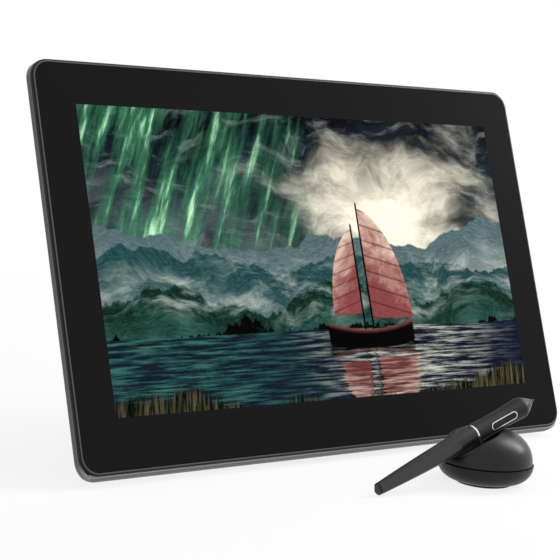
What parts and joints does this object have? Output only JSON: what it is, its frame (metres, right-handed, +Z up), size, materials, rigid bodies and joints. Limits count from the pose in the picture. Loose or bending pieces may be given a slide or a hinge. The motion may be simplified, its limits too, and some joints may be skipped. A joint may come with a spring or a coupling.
{
  "type": "pen display tablet with pen and stand",
  "caption": "Wide pen display leaning on a notched easel stand behind it, with a tapered pen resting on a domed pen stand in front.",
  "frame": {"origin": "on the desk, mid width, under the tilt hinge of the easel stand, at the middle of the front foot strip", "axes": "+X right as the user sees the screen, +Y away from the user, +Z up"},
  "size_m": [0.5059, 0.3324, 0.3044],
  "materials": {
    "glass_black": "fine etched, semi-matte",
    "tape": "matte",
    "frame_grey": "satin",
    "cell": "smooth",
    "film_white": "matte",
    "acrylic": "polished",
    "led_white": "matte",
    "tray_metal": "plain",
    "board_green": "satin",
    "shield_metal": "plain",
    "screw_steel": "plain",
    "screw_black": "black oxide",
    "cover_grey": "satin",
    "socket_metal": "plain",
    "socket_black": "matte",
    "insert_brass": "plain",
    "pad_rubber": "matte",
    "key_black": "satin",
    "stand_black": "fine powder coat",
    "dome_grey": "satin",
    "dome_base": "satin",
    "weight_steel": "plain",
    "tray_grey": "matte",
    "nib_black": "satin",
    "barrel_grey": "satin",
    "cap_black": "gloss",
    "bright_metal": "polished",
    "grip_rubber": "matte",
    "nose_black": "satin",
    "core_grey": "matte",
    "copper": "plain"
  },
  "bodies": {
    "easel_base": {"stand_base": "stand_black", "base_feet": "pad_rubber", "tilt_hinge_pin": "screw_steel", "pen_stand_base": "dome_base", "pen_stand_weight": "weight_steel", "nib_tray": "tray_grey", "spare_nibs": "nib_black", "pen_stand_foot": "pad_rubber"},
    "screen_unit": {"cover_glass": "glass_black", "glass_adhesive": "tape", "front_frame": "frame_grey", "lcd_panel": "cell", "diffuser_sheets": "film_white", "light_guide": "acrylic", "led_strip": "led_white", "reflector_sheet": "film_white", "backlight_tray": "tray_metal", "digitizer_board": "board_green", "shield_plate": "shield_metal", "main_board": "board_green", "board_screws": "screw_steel", "key_board": "board_green", "back_cover": "cover_grey", "hdmi_port": "socket_metal", "usb_port": "socket_metal", "dc_jack": "socket_black", "threaded_inserts": "insert_brass", "housing_screws": "screw_black", "back_pads": "pad_rubber", "stand_bracket": "stand_black", "bracket_screws": "screw_steel", "prop_pivot_pin": "screw_steel"},
    "prop": {"prop_arm": "stand_black", "prop_foot_pin": "screw_steel"},
    "power_key": {"power_key": "key_black"},
    "menu_key": {"menu_key": "key_black"},
    "plus_key": {"plus_key": "key_black"},
    "minus_key": {"minus_key": "key_black"},
    "input_key": {"input_key": "key_black"},
    "pen_stand_shell": {"pen_stand_shell": "dome_grey"},
    "pen": {"pen_barrel": "barrel_grey", "pen_tail_cap": "cap_black", "pen_ring": "bright_metal", "pen_grip": "grip_rubber", "pen_key_frame": "bright_metal", "pen_nose": "nose_black", "pen_core": "core_grey", "pen_circuit": "board_green", "pressure_sensor": "core_grey", "pen_coil": "copper"},
    "pen_nib": {"pen_nib": "nib_black"},
    "pen_front_key": {"pen_front_key": "key_black"},
    "pen_rear_key": {"pen_rear_key": "key_black"}
  },
  "joints": [
    {"name": "screen_tilt", "type": "hinge", "parent": "easel_base", "child": "screen_unit", "pos_m": [0, 0, 0.014], "axis": [1, 0, 0], "range_deg": [-50, 5]},
    {"name": "prop_swing", "type": "hinge", "parent": "screen_unit", "child": "prop", "pos_m": [0, 0.02873, 0.09293], "axis": [1, 0, 0], "range_deg": [-10, 100]},
    {"name": "power_press", "type": "slide", "parent": "screen_unit", "child": "power_key", "axis": [-1, 0, 0], "range_m": [0, 0.0006], "stiffness_N_per_m": 500},
    {"name": "menu_press", "type": "slide", "parent": "screen_unit", "child": "menu_key", "axis": [-1, 0, 0], "range_m": [0, 0.0006], "stiffness_N_per_m": 500},
    {"name": "plus_press", "type": "slide", "parent": "screen_unit", "child": "plus_key", "axis": [-1, 0, 0], "range_m": [0, 0.0006], "stiffness_N_per_m": 500},
    {"name": "minus_press", "type": "slide", "parent": "screen_unit", "child": "minus_key", "axis": [-1, 0, 0], "range_m": [0, 0.0006], "stiffness_N_per_m": 500},
    {"name": "input_press", "type": "slide", "parent": "screen_unit", "child": "input_key", "axis": [-1, 0, 0], "range_m": [0, 0.0006], "stiffness_N_per_m": 500},
    {"name": "shell_twist", "type": "hinge", "parent": "easel_base", "child": "pen_stand_shell", "pos_m": [0.057, -0.1265, 0.017], "axis": [0, 0, 1], "range_deg": [0, 30]},
    {"name": "pen_lift", "type": "slide", "parent": "pen_stand_shell", "child": "pen", "axis": [-0.3338, 0, 0.9426], "range_m": [0, 0.09]},
    {"name": "nib_press", "type": "slide", "parent": "pen", "child": "pen_nib", "axis": [-0.9426, 0, -0.3338], "range_m": [0, 0.0015], "stiffness_N_per_m": 300},
    {"name": "front_key_press", "type": "slide", "parent": "pen", "child": "pen_front_key", "axis": [0.058, 0.9848, -0.1637], "range_m": [0, 0.0003], "stiffness_N_per_m": 800},
    {"name": "rear_key_press", "type": "slide", "parent": "pen", "child": "pen_rear_key", "axis": [0.058, 0.9848, -0.1637], "range_m": [0, 0.0003], "stiffness_N_per_m": 800}
  ],
  "couplings": [
    {"joint": "prop_swing", "follows": "screen_tilt", "ratio": -2}
  ]
}
